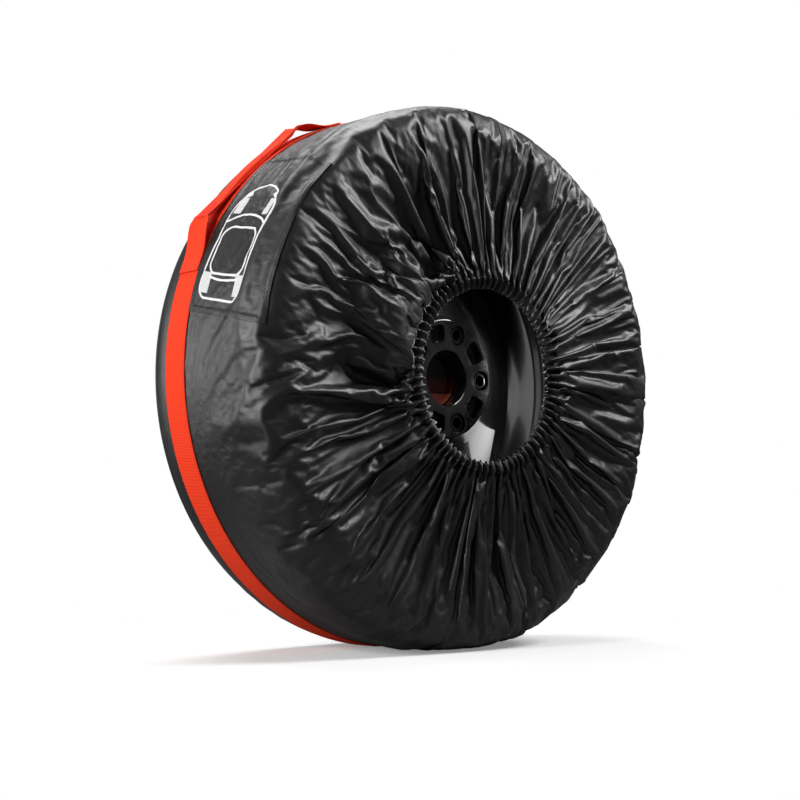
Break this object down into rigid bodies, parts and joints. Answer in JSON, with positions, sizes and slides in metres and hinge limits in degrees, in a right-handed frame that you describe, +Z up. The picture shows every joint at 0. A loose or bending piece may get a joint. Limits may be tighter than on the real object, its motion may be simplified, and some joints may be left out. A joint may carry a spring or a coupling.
{
  "type": "wheel storage cover",
  "caption": "Gathered black fabric storage cover with an elastic mouth and a webbing handle, drawn over a complete road wheel standing upright.",
  "frame": {"origin": "on the floor, under the centre of the whole part's box, with the wheel standing upright", "axes": "+Z up, +Y along the axle towards the closed back, so the elastic mouth faces -Y, and +X to the right seen from the front"},
  "size_m": [0.665, 0.246, 0.6622],
  "materials": {
    "tyre_rubber": "matt black rubber",
    "gloss_black_alloy": "gloss black powder coat on cast aluminium",
    "cap_plastic": "dark red-brown moulded plastic",
    "valve_rubber": "matt black rubber",
    "valve_brass": "plain turned brass",
    "black_plastic": "moulded black plastic",
    "black_polyester": "coated plain-weave polyester with a sheen",
    "black_tape": "folded binding tape",
    "elastic": "flat woven elastic",
    "red_webbing": "ribbed polyester webbing",
    "red_thread": "polyester sewing thread",
    "diagram_white": "screen-printed ink"
  },
  "bodies": {
    "root": {"tyre": "tyre_rubber", "rim_barrel": "gloss_black_alloy", "wheel_centre": "gloss_black_alloy", "valve_stem": "valve_rubber", "valve_core": "valve_brass", "front_panel_right": "black_polyester", "front_panel_left": "black_polyester", "seam_tape_upper": "black_tape", "seam_tape_lower": "black_tape", "front_hem": "black_polyester", "front_elastic": "elastic", "rear_gusset": "black_polyester", "rear_disc": "black_polyester", "shoulder_piping": "black_tape", "perimeter_strap": "red_webbing", "handle_tab_lower": "red_webbing", "handle_tab_upper": "red_webbing", "handle_stitching_lower": "red_thread", "handle_stitching_upper": "red_thread", "position_patch": "black_polyester"},
    "carry_handle": {"handle_grip": "red_webbing"},
    "centre_cap": {"centre_cap": "cap_plastic"},
    "valve_cap": {"valve_cap": "black_plastic"}
  },
  "joints": [
    {"name": "handle_lift", "type": "slide", "parent": "root", "child": "carry_handle", "axis": [-0.6915, 0, 0.7224], "range_m": [0, 0.025]},
    {"name": "centre_cap_pull", "type": "slide", "parent": "root", "child": "centre_cap", "axis": [0, 1, 0], "range_m": [0, 0.02]},
    {"name": "valve_cap_pull", "type": "slide", "parent": "root", "child": "valve_cap", "axis": [-0.6088, 0, 0.7934], "range_m": [0, 0.012]}
  ]
}
